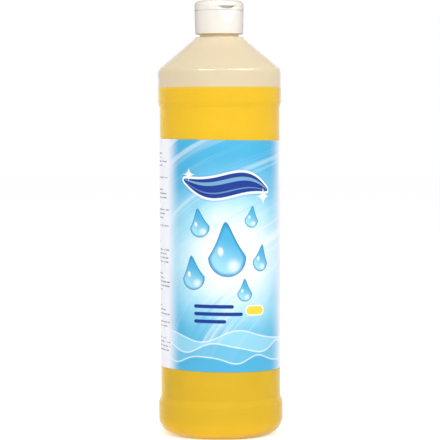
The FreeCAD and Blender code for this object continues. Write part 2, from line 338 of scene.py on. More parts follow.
def turned_tree():
    """Turns a section drawn in the XZ plane about the Z axis and lets the wall wander inwards a little."""
    tree, build, taken, given = new_tree(
        "GeometryNodeTree",
        "Turned shell",
        [
            ("Geometry", "geometry", None),
            ("Segments", "whole", 192),
            ("Ripple", "number", 0.0),
            ("Ripple Scale", "number", 14.0),
            ("Seed", "number", 3.0),
            ("Material", "material", None),
        ],
        [("Geometry", "geometry")],
    )
    turning_radius = 0.01
    drawn = build.parts_of(build.add("GeometryNodeInputPosition").outputs[0])
    across = build.minus(drawn[0], turning_radius)
    down = build.times(drawn[2], -1.0)
    laid = build.add(
        "GeometryNodeSetPosition", None, {"Geometry": taken["Geometry"], "Position": build.vector(across, down)}
    )
    section = build.add("GeometryNodeMeshToCurve", None, {0: laid.outputs[0]})
    circle = build.add(
        "GeometryNodeCurvePrimitiveCircle", None, {"Resolution": taken["Segments"], "Radius": turning_radius}
    )
    upright = build.add("GeometryNodeSetCurveNormal", {"mode": "Z_UP"}, {0: circle.outputs[0]})
    swept = build.add(
        "GeometryNodeCurveToMesh", None, {"Curve": upright.outputs[0], "Profile Curve": section.outputs[0]}
    )
    place = build.add("GeometryNodeInputPosition").outputs[0]
    level = build.vector_math("MULTIPLY", place, (1.0, 1.0, 0.0))
    outwards = build.vector_math("NORMALIZE", level)
    bulge = build.noise(place, taken["Ripple Scale"], 1.0, 0.5, taken["Seed"])
    inwards = build.times(build.times(bulge, taken["Ripple"]), -1.0)
    offset = build.scaled(outwards, inwards)
    rippled = build.add("GeometryNodeSetPosition", None, {"Geometry": swept.outputs[0], "Offset": offset})
    build.feed(given["Geometry"], close_shape(build, rippled.outputs[0], taken["Material"]))
    return tree


def thread_tree():
    """Sweeps a ridge with sloped flanks up a right-hand helix and lets both its ends run out."""
    tree, build, taken, given = new_tree(
        "GeometryNodeTree",
        "Screw thread",
        [
            ("Geometry", "geometry", None),
            ("Radius", "number", 0.0128),
            ("Pitch", "number", 0.0042),
            ("Turns", "number", 1.5),
            ("Depth", "number", 0.001),
            ("Root Width", "number", 0.0022),
            ("Crest Width", "number", 0.001),
            ("Sink", "number", 0.0003),
            ("Foot", "number", 0.267),
            ("Start Angle", "number", math.pi / 2),
            ("Material", "material", None),
        ],
        [("Geometry", "geometry")],
    )
    helix = build.add(
        "GeometryNodeCurveSpiral",
        None,
        {
            "Resolution": 72,
            "Rotations": taken["Turns"],
            "Start Radius": taken["Radius"],
            "End Radius": taken["Radius"],
            "Height": build.times(taken["Pitch"], taken["Turns"]),
            "Reverse": True,
        },
    )
    upright = build.add("GeometryNodeSetCurveNormal", {"mode": "Z_UP"}, {0: helix.outputs[0]})
    ridge_height = build.plus(taken["Depth"], taken["Sink"])
    ridge = build.add(
        "GeometryNodeCurvePrimitiveQuadrilateral",
        {"mode": "TRAPEZOID"},
        {
            "Bottom Width": taken["Root Width"],
            "Top Width": taken["Crest Width"],
            "Offset": 0.0,
            "Height": ridge_height,
        },
    )
    middle = build.times(build.minus(taken["Depth"], taken["Sink"]), 0.5)
    turned_ridge = build.add(
        "GeometryNodeTransform",
        None,
        {
            "Geometry": ridge.outputs[0],
            "Translation": build.vector(middle),
            "Rotation": (0.0, 0.0, -math.pi / 2),
        },
    )
    along = build.add("GeometryNodeSplineParameter").outputs["Factor"]
    from_end = build.math("MINIMUM", along, build.minus(1.0, along))
    swept = build.add(
        "GeometryNodeCurveToMesh",
        None,
        {
            "Curve": upright.outputs[0],
            "Profile Curve": turned_ridge.outputs[0],
            "Scale": build.step(from_end, 0.0, 0.05, 0.1, 1.0),
            "Fill Caps": True,
        },
    )
    placed = build.add(
        "GeometryNodeTransform",
        None,
        {
            "Geometry": swept.outputs[0],
            "Translation": build.vector(0.0, 0.0, taken["Foot"]),
            "Rotation": build.vector(0.0, 0.0, taken["Start Angle"]),
        },
    )
    build.feed(given["Geometry"], close_shape(build, placed.outputs[0], taken["Material"]))
    return tree


def wrap_tree():
    """Wraps a flat sheet with a thickness round a cylinder, a little askew, and keeps its flat coordinates."""
    tree, build, taken, given = new_tree(
        "GeometryNodeTree",
        "Wrapped label",
        [
            ("Geometry", "geometry", None),
            ("Radius", "number", 0.0391),
            ("Thickness", "number", 0.00015),
            ("Length", "number", 0.24),
            ("Height", "number", 0.148),
            ("Middle Height", "number", 0.1186),
            ("Skew", "number", 0.019),
            ("Front Angle", "number", -1.4),
            ("Columns", "whole", 241),
            ("Rows", "whole", 25),
            ("Material", "material", None),
        ],
        [("Geometry", "geometry")],
    )
    grid = build.add(
        "GeometryNodeMeshGrid",
        None,
        {
            "Size X": taken["Length"],
            "Size Y": taken["Height"],
            "Vertices X": taken["Columns"],
            "Vertices Y": taken["Rows"],
        },
    )
    named = build.add(
        "GeometryNodeStoreNamedAttribute",
        {"data_type": "FLOAT2", "domain": "CORNER"},
        {"Geometry": grid.outputs["Mesh"], "Name": "UVMap", "Value": grid.outputs["UV Map"]},
    )
    face = build.add(
        "GeometryNodeExtrudeMesh",
        {"mode": "FACES"},
        {"Mesh": named.outputs[0], "Offset Scale": taken["Thickness"], "Individual": False},
    )
    back = build.add("GeometryNodeFlipFaces", None, {0: named.outputs[0]})
    both = build.add("GeometryNodeJoinGeometry")
    tree.links.new(face.outputs["Mesh"], both.inputs[0])
    tree.links.new(back.outputs[0], both.inputs[0])
    flat = build.parts_of(build.add("GeometryNodeInputPosition").outputs[0])
    outer_radius = build.plus(taken["Radius"], taken["Thickness"])
    turn = build.plus(build.over(flat[0], outer_radius), taken["Front Angle"])
    radius = build.plus(taken["Radius"], flat[2])
    x = build.times(radius, build.math("COSINE", turn))
    y = build.times(radius, build.math("SINE", turn))
    drop = build.times(x, build.math("TANGENT", taken["Skew"]))
    z = build.minus(build.plus(flat[1], taken["Middle Height"]), drop)
    wrapped = build.add(
        "GeometryNodeSetPosition", None, {"Geometry": both.outputs[0], "Position": build.vector(x, y, z)}
    )
    build.feed(given["Geometry"], close_shape(build, wrapped.outputs[0], taken["Material"]))
    return tree


# Shader groups


def moulded_group():
    """Surface of moulded plastic: a fine grain and slow waves drawn out upwards, as one height."""
    tree, build, taken, given = new_tree(
        "ShaderNodeTree",
        "Moulded surface",
        [
            ("Vector", "vector", None),
            ("Grain Scale", "number", 2500.0),
            ("Grain Height", "number", 0.00001),
            ("Wave Scale", "number", 60.0),
            ("Wave Height", "number", 0.0001),
            ("Seed", "number", 1.0),
        ],
        [("Height", "number"), ("Wave", "number")],
    )
    grain = build.noise(taken["Vector"], taken["Grain Scale"], 2.0, 0.6, taken["Seed"])
    drawn_out = build.vector_math("MULTIPLY", taken["Vector"], (1.0, 1.0, 0.35))
    wave = build.noise(drawn_out, taken["Wave Scale"], 2.0, 0.45, taken["Seed"])
    height = build.plus(build.times(grain, taken["Grain Height"]), build.times(wave, taken["Wave Height"]))
    build.feed(given["Height"], height)
    build.feed(given["Wave"], wave)
    return tree


def tone_group():
    """Slow drift of a colour's brightness over a surface."""
    tree, build, taken, given = new_tree(
        "ShaderNodeTree",
        "Tone drift",
        [
            ("Vector", "vector", None),
            ("Color", "colour", (0.8, 0.8, 0.8, 1.0)),
            ("Amount", "number", 0.05),
            ("Scale", "number", 25.0),
            ("Seed", "number", 1.0),
        ],
        [("Color", "colour"), ("Drift", "number")],
    )
    drift = build.noise(taken["Vector"], taken["Scale"], 3.0, 0.55, taken["Seed"])
    low = build.minus(1.0, taken["Amount"])
    high = build.plus(1.0, taken["Amount"])
    factor = build.step(drift, 0.25, 0.75, low, high)
    scaled = build.add("ShaderNodeVectorMath", {"operation": "SCALE"}, {0: taken["Color"], "Scale": factor})
    build.feed(given["Color"], scaled.outputs[0])
    build.feed(given["Drift"], drift)
    return tree


def local_place(build, taken):
    """The place on the label seen from a motif's own centre and lean."""
    u = build.minus(taken["U"], taken["Centre U"])
    v = build.minus(taken["V"], taken["Centre V"])
    cosine = build.math("COSINE", taken["Turn"])
    sine = build.math("SINE", taken["Turn"])
    across = build.plus(build.times(u, cosine), build.times(v, sine))
    up = build.minus(build.times(v, cosine), build.times(u, sine))
    return across, up


MOTIF_INPUTS = [
    ("U", "number", 0.0),
    ("V", "number", 0.0),
    ("Centre U", "number", 0.0),
    ("Centre V", "number", 0.0),
    ("Turn", "number", 0.0),
]


def drop_group():
    """A falling drop, round below and drawn to a point above, with its rim, shade and two lights."""
    tree, build, taken, given = new_tree(
        "ShaderNodeTree",
        "Falling drop",
        MOTIF_INPUTS + [("Size", "number", 6.0)],
        [("Inside", "number"), ("Rim", "number"), ("Shade", "number"), ("Light", "number")],
    )
    across, up = local_place(build, taken)
    x = build.over(across, taken["Size"])
    y = build.over(up, taken["Size"])
    above = build.math("MAXIMUM", y, 0.0)
    narrowing = build.times_plus(build.math("POWER", above, 1.2), 0.9, 1.0)
    flattening = build.times_plus(above, -0.45, y)
    wide = build.times(x, narrowing)
    far = build.far(wide, flattening)
    soft = build.over(0.22, taken["Size"])
    build.feed(given["Inside"], build.step(far, build.plus(1.0, soft), build.minus(1.0, soft)))
    build.feed(given["Rim"], build.step(far, 0.74, 0.98))
    build.feed(given["Shade"], build.step(build.times_plus(x, 0.55, y), -0.9, 1.2))
    spot_x = build.times(build.plus(x, 0.34), 1.5)
    spot_y = build.plus(y, -0.32)
    spot = build.far(spot_x, spot_y)
    low_x = build.plus(x, -0.3)
    low_y = build.plus(y, 0.45)
    low = build.far(low_x, low_y)
    glow = build.step(low, 0.5, 0.05, 0.0, 0.75)
    build.feed(given["Light"], build.math("MAXIMUM", build.step(spot, 0.3, 0.1), glow))
    return tree


def wave_group():
    """A waving line: what lies below it, and a thin crest along it."""
    tree, build, taken, given = new_tree(
        "ShaderNodeTree",
        "Waving line",
        [
            ("U", "number", 0.0),
            ("V", "number", 0.0),
            ("Level", "number", 10.0),
            ("Swing", "number", 3.0),
            ("Length", "number", 50.0),
            ("Shift", "number", 0.0),
            ("Softness", "number", 0.3),
            ("Crest Width", "number", 0.8),
        ],
        [("Below", "number"), ("Crest", "number")],
    )
    phase = build.over(build.times(taken["U"], 2 * math.pi), taken["Length"])
    slow = build.math("SINE", build.plus(phase, taken["Shift"]))
    quick = build.math("SINE", build.times_plus(phase, 1.73, build.times(taken["Shift"], 2.1)))
    swing = build.times_plus(quick, 0.3, slow)
    line = build.times_plus(swing, taken["Swing"], taken["Level"])
    above = build.minus(taken["V"], line)
    negative = build.times(taken["Softness"], -1.0)
    build.feed(given["Below"], build.step(above, taken["Softness"], negative))
    build.feed(given["Crest"], build.step(build.math("ABSOLUTE", above), taken["Crest Width"], 0.0))
    return tree


def bar_group():
    """A bar with round ends, which may bend: the distance from its edge, below zero inside."""
    tree, build, taken, given = new_tree(
        "ShaderNodeTree",
        "Rounded bar",
        MOTIF_INPUTS
        + [
            ("Half Length", "number", 10.0),
            ("Half Height", "number", 2.0),
            ("Bend", "number", 0.0),
            ("Taper", "number", 0.0),
        ],
        [("Distance", "number"), ("Inside", "number"), ("Level", "number")],
    )
    across, up = local_place(build, taken)
    bowed = build.times(build.math("SINE", build.times(across, 0.11)), taken["Bend"])
    level = build.minus(up, bowed)
    along = build.math("POWER", build.over(across, taken["Half Length"]), 2.0)
    narrowing = build.minus(1.0, build.times(along, taken["Taper"]))
    half_height = build.times(taken["Half Height"], build.math("MAXIMUM", narrowing, 0.02))
    end_height = build.times(taken["Half Height"], build.minus(1.0, taken["Taper"]))
    straight = build.minus(taken["Half Length"], end_height)
    past_end = build.math("MAXIMUM", build.minus(build.math("ABSOLUTE", across), straight), 0.0)
    far = build.far(past_end, level)
    distance = build.minus(far, half_height)
    build.feed(given["Distance"], distance)
    build.feed(given["Level"], build.over(level, half_height))
    build.feed(given["Inside"], build.step(distance, 0.15, -0.15))
    return tree


def sparkle_group():
    """A small four-pointed light."""
    tree, build, taken, given = new_tree(
        "ShaderNodeTree", "Sparkle", MOTIF_INPUTS + [("Size", "number", 3.0)], [("Inside", "number")]
    )
    across, up = local_place(build, taken)
    roots = [build.math("SQRT", build.math("ABSOLUTE", way)) for way in (across, up)]
    reach = build.over(build.plus(*roots), build.math("SQRT", taken["Size"]))
    build.feed(given["Inside"], build.step(reach, 1.06, 0.86))
    return tree


def small_print_group():
    """Rows of tiny dashes of uneven length between two sides, in blocks, like print too small to read."""
    tree, build, taken, given = new_tree(
        "ShaderNodeTree",
        "Small print",
        [
            ("U", "number", 0.0),
            ("V", "number", 0.0),
            ("Left", "number", -100.0),
            ("Right", "number", -50.0),
            ("Low", "number", 10.0),
            ("High", "number", 130.0),
            ("Line Height", "number", 2.6),
            ("Seed", "number", 0.0),
        ],
        [("Ink", "number")],
    )
    dash_length, gap_share, rows_in_block = 0.75, 0.2, 8.0
    line = build.over(taken["V"], taken["Line Height"])
    row = build.math("FLOOR", line)
    in_row = build.math("FRACT", line)
    row_seed = build.plus(build.times(row, 7.31), taken["Seed"])
    row_random = build.random(row_seed)
    stroke = build.times(build.step(in_row, 0.2, 0.3), build.step(in_row, 0.62, 0.52))
    width = build.minus(taken["Right"], taken["Left"])
    short_by = build.times(build.math("POWER", row_random, 3.0), width)
    line_end = build.minus(taken["Right"], short_by)
    cell = build.plus(build.over(taken["U"], dash_length), row_seed)
    dash_random = build.random(build.math("FLOOR", cell))
    in_cell = build.math("FRACT", cell)
    dash = build.times(build.math("GREATER_THAN", dash_random, gap_share), build.step(in_cell, 0.98, 0.82))
    sides, ends = [
        build.times(build.math("GREATER_THAN", way, low), build.math("LESS_THAN", way, high))
        for way, low, high in ((taken["U"], taken["Left"], line_end), (taken["V"], taken["Low"], taken["High"]))
    ]
    block = build.math("GREATER_THAN", build.math("FRACT", build.over(row, rows_in_block)), gap_share)
    ink = build.times(build.times(stroke, dash), build.times(sides, ends))
    build.feed(given["Ink"], build.times(ink, block))
    return tree


# Materials


def new_material(name):
    """An empty material, its builder and its Principled shader."""
    material = bpy.data.materials.new(name)
    material.use_nodes = True
    material.node_tree.nodes.clear()
    build = TreeBuilder(material.node_tree)
    shader = build.add("ShaderNodeBsdfPrincipled")
    build.add("ShaderNodeOutputMaterial", None, {"Surface": shader.outputs[0]})
    return material, build, shader


def bump(build, shader, height):
    """Feeds a height in metres to the shader's normal."""
    node = build.add("ShaderNodeBump", None, {"Strength": 1.0, "Distance": 1.0, "Height": height})
    build.feed(shader.inputs["Normal"], node.outputs[0])
    return node


def looked_at(build):
    """One where the camera, a reflection or a clear piece looks at the background, else zero."""
    seen = build.add("ShaderNodeLightPath").outputs
    through = build.math("MAXIMUM", seen["Is Glossy Ray"], seen["Is Transmission Ray"])
    return build.math("MAXIMUM", seen["Is Camera Ray"], through)


def settle(shader, values):
    """Sets the inputs that are the same all over the surface."""
    for name, value in values.items():
        shader.inputs[name].default_value = value


def drifting(build, groups, place, colour, amount, scale, seed=1.0):
    """The tone group's outputs for a colour whose brightness drifts over the surface."""
    values = {"Vector": place, "Color": colour, "Amount": amount, "Scale": scale, "Seed": seed}
    return build.group(groups["tone"], values)


def moulded_surface(build, groups, place, grain, wave, seed):
    """The moulded group's outputs; the grain and the wave are each a scale and a height in metres."""
    values = {"Vector": place, "Seed": seed}
    for label, (scale, height) in (("Grain", grain), ("Wave", wave)):
        values[label + " Scale"] = scale
        values[label + " Height"] = height
    return build.group(groups["moulded"], values)


def roughness_from(build, shader, wave, low, high):
    """Lets the roughness wander between two values with the surface's slow waves."""
    build.feed(shader.inputs["Roughness"], build.step(wave, 0.2, 0.8, low, high))


def natural_plastic(groups, colours, sizes):
    """Milky blown wall: it shows the soap's gold where it is wet and stays cream above the soap; a painted
    shade darkens the wetted wall's edges, and painted glows light a band of the neck and the wetted edges, more
    on the left.
    """
    dry_cover, thick_cover, wet_cover, edge_cover = 0.62, 0.8, 0.5, 0.95
    # Strengths of the painted glows: in the neck's band, and at the wetted wall's right and left edges.
    neck_glow, right_glow, left_glow = 0.1, 0.02, 0.22
    parting_reach, parting_height = 0.00035, 0.00012
    material, build, shader = new_material("natural_plastic")
    place = build.object_place()
    x, y, z = build.parts_of(place)
    level = SOAP_HIGH.z
    body_top = sizes.lower_band + sizes.lower_step + sizes.panel_height + sizes.upper_step + sizes.upper_band
    wet = build.step(z, level + 0.0002, level - 0.0007)
    thick = build.step(z, body_top + 0.012, body_top + 0.024)
    deep = build.step(z, level - 0.02, 0.06)
    # Painted glow: a narrow band of the neck under the cap is tinted ochre and glows a little.
    painted_neck_glow = build.times(
        build.step(z, body_top + 0.0215, body_top + 0.0228), build.step(z, body_top + 0.026, body_top + 0.0242)
    )
    turned_away = build.add("ShaderNodeLayerWeight", None, {"Blend": 0.5}).outputs["Facing"]
    at_edge = build.step(turned_away, 0.6, 0.8)

    gold = build.colour(deep, colours.wetted, colours.wetted_deep)
    # Painted shade: the wetted wall darkens to a deeper gold where it turns away from the eye.
    gold = build.colour(at_edge, gold, colours.wetted_edge_shade)
    dry = build.colour(painted_neck_glow, colours.plastic, colours.neck)
    toned = build.colour(wet, dry, gold)
    drift = drifting(build, groups, place, toned, 0.025, 22.0)
    build.feed(shader.inputs["Base Color"], drift["Color"])

    cover = build.between(wet, dry_cover, build.between(at_edge, wet_cover, edge_cover))
    cover = build.between(thick, cover, thick_cover)
    cover = build.plus(cover, build.times_plus(drift["Drift"], 0.08, -0.04))
    build.feed(shader.inputs["Alpha"], cover)

    # Painted glow: the wetted wall glows at its edges, more on the left side than on the right, standing in for
    # light gathered through the soap.
    side_glow = build.step(x, 0.02, -0.02, right_glow, left_glow)
    edge_glow = build.times(build.times(build.step(turned_away, 0.4, 0.95), side_glow), wet)
    # Painted light: the wall emits its own colour as a glow in the neck's band and at the wetted edges.
    build.feed(shader.inputs["Emission Color"], toned)
    build.feed(shader.inputs["Emission Strength"], build.times_plus(painted_neck_glow, neck_glow, edge_glow))

    surface = moulded_surface(build, groups, place, (1700.0, 0.000012), (55.0, 0.00007), 4.0)
    parting = build.times(build.step(build.math("ABSOLUTE", y), parting_reach, 0.0001), parting_height)
    bump(build, shader, build.plus(surface["Height"], parting))
    roughness_from(build, shader, surface["Wave"], 0.1, 0.17)
    settle(shader, {"IOR": 1.5, "Specular IOR Level": 0.25})
    return material


def golden_soap(groups, colours):
    """Clear golden soap, deeper towards the base, with a painted glow near the base that stands in for the
    floor's light gathering in it.
    """
    foot_glow = 0.55
    material, build, shader = new_material("golden_soap")
    place = build.object_place()
    z = build.parts_of(place)[2]
    deep = build.step(z, SOAP_HIGH.z - 0.02, SOAP_LOW.z + 0.03)
    toned = build.colour(deep, colours.soap, colours.soap_deep)
    drift = drifting(build, groups, place, toned, 0.02, 16.0, 7.0)
    for name in ("Base Color", "Emission Color"):
        build.feed(shader.inputs[name], drift["Color"])
    # Painted glow: the soap emits its own colour near the base.
    build.feed(shader.inputs["Emission Strength"], build.step(z, 0.016, 0.002, 0.0, foot_glow))
    settle(shader, {
        "Roughness": 0.12,
        "Subsurface Weight": 0.35,
        "Subsurface Radius": (1.0, 0.6, 0.15),
        "Subsurface Scale": 0.012,
        "IOR": 1.37,
        "Specular IOR Level": 0.2,
    })
    return material


def white_plastic(groups, colours, name, seed):
    """Injection-moulded white plastic with a satin face, a soft break at its edges and a painted shade where it
    turns away from the eye.
    """
    edge_rounding = 0.00028
    material, build, shader = new_material(name)
    place = build.object_place()
    turned_away = build.add("ShaderNodeLayerWeight", None, {"Blend": 0.35}).outputs["Facing"]
    # Painted shade: the colour darkens towards the edges that turn away from the eye.
    shade = build.colour(build.step(turned_away, 0.15, 0.85), colours.cap, colours.painted_cap_edge_shade)
    drift = drifting(build, groups, place, shade, 0.012, 90.0, seed)
    build.feed(shader.inputs["Base Color"], drift["Color"])
    surface = moulded_surface(build, groups, place, (2600.0, 0.000008), (120.0, 0.00006), seed)
    node = bump(build, shader, surface["Height"])
    edge = build.add("ShaderNodeBevel", {"samples": 6}, {"Radius": edge_rounding})
    build.feed(node.inputs["Normal"], edge.outputs[0])
    roughness_from(build, shader, surface["Wave"], 0.38, 0.48)
    settle(shader, {
        "Specular IOR Level": 0.22,
        "Subsurface Weight": 0.15,
        "Subsurface Radius": (1.0, 0.9, 0.8),
        "Subsurface Scale": 0.0015,
    })
    return material


def foam(groups, colours):
    """Closed-cell foam of the gasket."""
    cell_depth = 0.00006
    material, build, shader = new_material("foam_seal")
    place = build.object_place()
    cells = build.add("ShaderNodeTexVoronoi", None, {"Vector": place, "Scale": 2200.0}).outputs["Distance"]
    drift = drifting(build, groups, place, (*colours.foam, 1.0), 0.06, 700.0, 2.0)
    build.feed(shader.inputs["Base Color"], drift["Color"])
    bump(build, shader, build.times(cells, cell_depth))
    settle(shader, {"Roughness": 0.85})
    return material


# The label's places and sizes are in millimetres, across from its middle (u) and up from its foot (v).
# Drops: u, v, lean and size.
DROPS = [
    (-19.5, 92.5, 0.12, 6.6),
    (15.0, 97.5, -0.1, 5.0),
    (-1.5, 73.5, 0.05, 12.5),
    (22.0, 70.5, -0.15, 6.2),
    (-24.0, 60.0, 0.1, 7.8),
    (10.0, 50.5, 0.0, 5.2),
]
# Bars: u, v and half length.
BARS = [(-10.5, 42.0, 13.0), (-7.5, 37.2, 16.0), (-13.0, 32.4, 10.5)]
# Sparkles: u, v and size.
SPARKLES = [(-27.0, 126.0, 5.5), (24.5, 112.5, 7.0), (16.0, 87.0, 3.6), (-9.5, 99.5, 3.0)]
# Waving lines: level, swing, length, shift, and the colour below the line with its strength.
WAVES = [
    (23.0, 3.2, 62.0, 0.6, "label_light", 0.75),
    (15.5, 2.8, 48.0, 2.4, "label_deep", 0.6),
    (8.0, 2.2, 39.0, 4.4, "label_deep", 0.9),
]
# Stripes on the ribbon: lower and upper edge as shares of its half height, and strength.
STRIPES = [(0.2, 0.62, 0.5), (-0.62, -0.45, 0.35)]
# Blocks of small dashes: left, right, low, high and seed.
PRINT_BLOCKS = [
    (-116.0, -84.0, 12.0, 136.0, 1.0),
    (-78.0, -44.5, 8.0, 140.0, 3.0),
    (57.0, 84.0, 10.0, 138.0, 5.0),
    (89.0, 116.0, 16.0, 120.0, 8.0),
]


def label_film(groups, colours, length_mm, height_mm):
    """Printed satin film: an azure field with a white glow, drops, waves and a navy ribbon, and pale sides."""
    material, build, shader = new_material("label_film")
    flat = build.parts_of(build.add("ShaderNodeUVMap", {"uv_map": "UVMap"}).outputs[0])
    u = build.times(build.minus(flat[0], 0.5), length_mm)
    v = build.times(flat[1], height_mm)
    light, deep = colours.label_light, colours.label_deep
    navy, white = colours.label_navy, colours.label_white

    def motif(kind, **values):
        """The outputs of one motif's group, with its own values by their inputs' names."""
        named = {name.replace("_", " ").title(): value for name, value in values.items()}
        return build.group(groups[kind], {"U": u, "V": v, **named})

    field = build.times(build.step(u, -48.0, -34.0), build.step(u, 54.0, 31.0))

    glow_u = build.over(build.plus(u, -4.0), 58.0)
    glow_v = build.over(build.minus(v, 74.0), 54.0)
    wander = build.noise(build.vector(u, v), 0.05, 2.0, 0.5, 5.0)
    out = build.plus(build.far(glow_u, glow_v), build.times_plus(wander, 0.3, -0.15))
    blue = build.colour(build.step(out, 0.55, 1.25), light, deep)
    ink = build.colour(build.step(out, 0.85, 0.2), blue, white)

    radius = build.far(build.minus(u, 70.0), build.plus(v, 30.0))
    bands = build.noise(build.vector(radius, build.times(v, 0.05)), 0.16, 3.0, 0.6, 9.0)
    ink = build.colour(build.step(bands, 0.52, 0.72, 0.0, 0.55), ink, white)
    ink = build.colour(build.step(bands, 0.46, 0.3, 0.0, 0.35), ink, deep)

    crest_strength = 0.7
    for level, swing, wave_length, shift, tone, strength in WAVES:
        wave = motif("wave", level=level, swing=swing, length=wave_length, shift=shift)
        ink = build.colour(build.times(wave["Below"], strength), ink, getattr(colours, tone))
        ink = build.colour(build.times(wave["Crest"], crest_strength), ink, white)

    rim_strength = 0.85
    for centre_u, centre_v, lean, size in DROPS:
        drop = motif("drop", centre_u=centre_u, centre_v=centre_v, turn=lean, size=size)
        body = build.colour(drop["Shade"], light, deep)
        body = build.colour(build.times(drop["Rim"], rim_strength), body, colours.label_rim)
        body = build.colour(drop["Light"], body, white)
        ink = build.colour(drop["Inside"], ink, body)

    ribbon = motif(
        "bar",
        centre_u=-1.0,
        centre_v=119.5,
        turn=math.radians(-5.0),
        half_length=30.0,
        half_height=7.2,
        bend=3.0,
        taper=0.9,
    )
    ink = build.colour(build.step(ribbon["Distance"], 3.2, 0.8, 0.0, 0.45), ink, colours.label_rim)
    ink = build.colour(build.step(ribbon["Distance"], 1.7, 1.3), ink, white)
    ink = build.colour(ribbon["Inside"], ink, navy)
    softness = 0.05
    for low, high, strength in STRIPES:
        above_low = build.step(ribbon["Level"], low, low + softness)
        below_high = build.step(ribbon["Level"], high, high - softness)
        stripe = build.times(build.times(above_low, below_high), ribbon["Inside"])
        ink = build.colour(build.times(stripe, strength), ink, light)

    for centre_u, centre_v, half_length in BARS:
        bar = motif("bar", centre_u=centre_u, centre_v=centre_v, half_length=half_length, half_height=1.15)
        ink = build.colour(bar["Inside"], ink, navy)
    tab = motif("bar", centre_u=17.5, centre_v=39.5, half_length=6.4, half_height=2.7)
    ink = build.colour(build.step(tab["Distance"], 0.9, 0.5), ink, white)
    ink = build.colour(tab["Inside"], ink, colours.label_accent)

    for centre_u, centre_v, size in SPARKLES:
        sparkle = motif("sparkle", centre_u=centre_u, centre_v=centre_v, size=size)
        ink = build.colour(sparkle["Inside"], ink, white)

    print_strength = 0.85
    sheet = build.colour(field, colours.label_side, ink)
    for left, right, low, high, seed in PRINT_BLOCKS:
        small = motif("print", left=left, right=right, low=low, high=high, seed=seed)
        sheet = build.colour(build.times(small["Ink"], print_strength), sheet, colours.print_ink)

    place = build.object_place()
    drift = drifting(build, groups, place, sheet, 0.012, 40.0)
    build.feed(shader.inputs["Base Color"], drift["Color"])
    surface = moulded_surface(build, groups, place, (900.0, 0.000006), (45.0, 0.0001), 6.0)
    bump(build, shader, surface["Height"])
    roughness_from(build, shader, surface["Wave"], 0.3, 0.4)
    settle(shader, {"Specular IOR Level": 0.25})
    return material


GROUP_MAKERS = {
    "moulded": moulded_group,
    "tone": tone_group,
    "drop": drop_group,
    "wave": wave_group,
    "bar": bar_group,
    "sparkle": sparkle_group,
    "print": small_print_group,
}
made_groups = {}
made_materials = {}


def shader_groups():
    """The shader groups, made at their first use."""
    if not made_groups:
        made_groups.update({key: maker() for key, maker in GROUP_MAKERS.items()})
    return made_groups


def material_for(key, maker, *values):
    """A material, made at its first use."""
    if key not in made_materials:
        made_materials[key] = maker(shader_groups(), *values)
    return made_materials[key]


# Shapes

SHORTEST = 1e-7
ARC_STEP = math.radians(12)
LONGEST_RUN = 0.006
SHARP_ANGLE = math.radians(40)


def rounded_section(corners):
    """Points along corners (radius, height, rounding): arcs at the corners, support points on long runs."""
    points = [Vector(corners[0][:2])]
    for before, corner, after in zip(corners, corners[1:], corners[2:]):
        here = Vector(corner[:2])
        back = Vector(before[:2]) - here
        ahead = Vector(after[:2]) - here
        half_angle = back.angle(ahead) / 2
        nearly_half = 0.49
        reach = min(corner[2] / math.tan(half_angle), nearly_half * min(back.length, ahead.length))
        if reach < SHORTEST:
            points.append(here)
            continue
        rounding = reach * math.tan(half_angle)
        middle_way = (back.normalized() + ahead.normalized()).normalized()
        centre = here + middle_way * (rounding / math.sin(half_angle))
        first = here + back.normalized() * reach - centre
        last = here + ahead.normalized() * reach - centre
        swing = math.pi - 2 * half_angle
        count = max(2, math.ceil(swing / ARC_STEP))
        for index in range(count + 1):
            t = index / count
            blend = first * math.sin((1 - t) * swing) + last * math.sin(t * swing)
            points.append(centre + blend / math.sin(swing))
    points.append(Vector(corners[-1][:2]))
    filled = points[:1]
    for first, second in zip(points, points[1:]):
        run = (second - first).length
        if run < SHORTEST:
            continue
        count = max(1, math.ceil(run / LONGEST_RUN))
        filled += [first.lerp(second, (index + 1) / count) for index in range(count)]
    return filled


def shifted_line(corners, distance):
    """The corners moved to the inner side of the line by a distance, with matching roundings."""
    normals = []
    for first, second in zip(corners, corners[1:]):
        along = (Vector(second[:2]) - Vector(first[:2])).normalized()
        normals.append(Vector((-along.y, along.x)))
    moved = []
    for index, corner in enumerate(corners):
        left = normals[max(index - 1, 0)]
        right = normals[min(index, len(normals) - 1)]
        shift = (left + right) * (distance / (1 + left.dot(right)))
        turns_inwards = left.x * right.y - left.y * right.x > 0
        rounding = corner[2] - distance if turns_inwards else corner[2] + distance
        if corner[2] == 0:
            rounding = 0
        moved.append((corner[0] + shift.x, corner[1] + shift.y, max(rounding, 0)))
    return moved


def body_line(s):
    """The outside of the body from the middle of the base up to the ledge under the neck."""
    body = s.body_diameter / 2
    panel = body - s.panel_depth
    panel_bottom = s.lower_band + s.lower_step
    panel_top = panel_bottom + s.panel_height
    band_bottom = panel_top + s.upper_step
    edge = band_bottom + s.upper_band
    ledge = s.ledge_diameter / 2
    ledge_bottom = edge + (body - ledge) * math.tan(s.shoulder_angle)
    return [
        (0, s.push_up, 0),
        (s.push_up_flat / 2, s.push_up, s.corner_rounding),
        (s.push_up_rim / 2, s.push_up_rim_height, 2 * s.ledge_rounding),
        (s.ring_inner_diameter / 2, 0, s.step_rounding),
        (s.ring_outer_diameter / 2, 0, 2 * s.step_rounding),
        (s.heel_diameter / 2, s.heel_height, s.corner_rounding),
        (s.lower_band_diameter / 2, s.corner_height, s.corner_rounding),
        (s.lower_band_diameter / 2, s.lower_band, s.band_rounding),
        (panel, panel_bottom, s.step_rounding),
        (panel, panel_top, s.step_rounding),
        (body, band_bottom, s.band_rounding),
        (body, edge, s.shoulder_rounding),
        (ledge, ledge_bottom, s.ledge_rounding),
    ]


def section_mesh(name, points):
    """A line of edges in the XZ plane through points (radius, height)."""
    mesh = bpy.data.meshes.new(name)
    edges = [(index, index + 1) for index in range(len(points) - 1)]
    mesh.from_pydata([(max(p[0], 0.0), 0.0, p[1]) for p in points], edges, [])
    return mesh


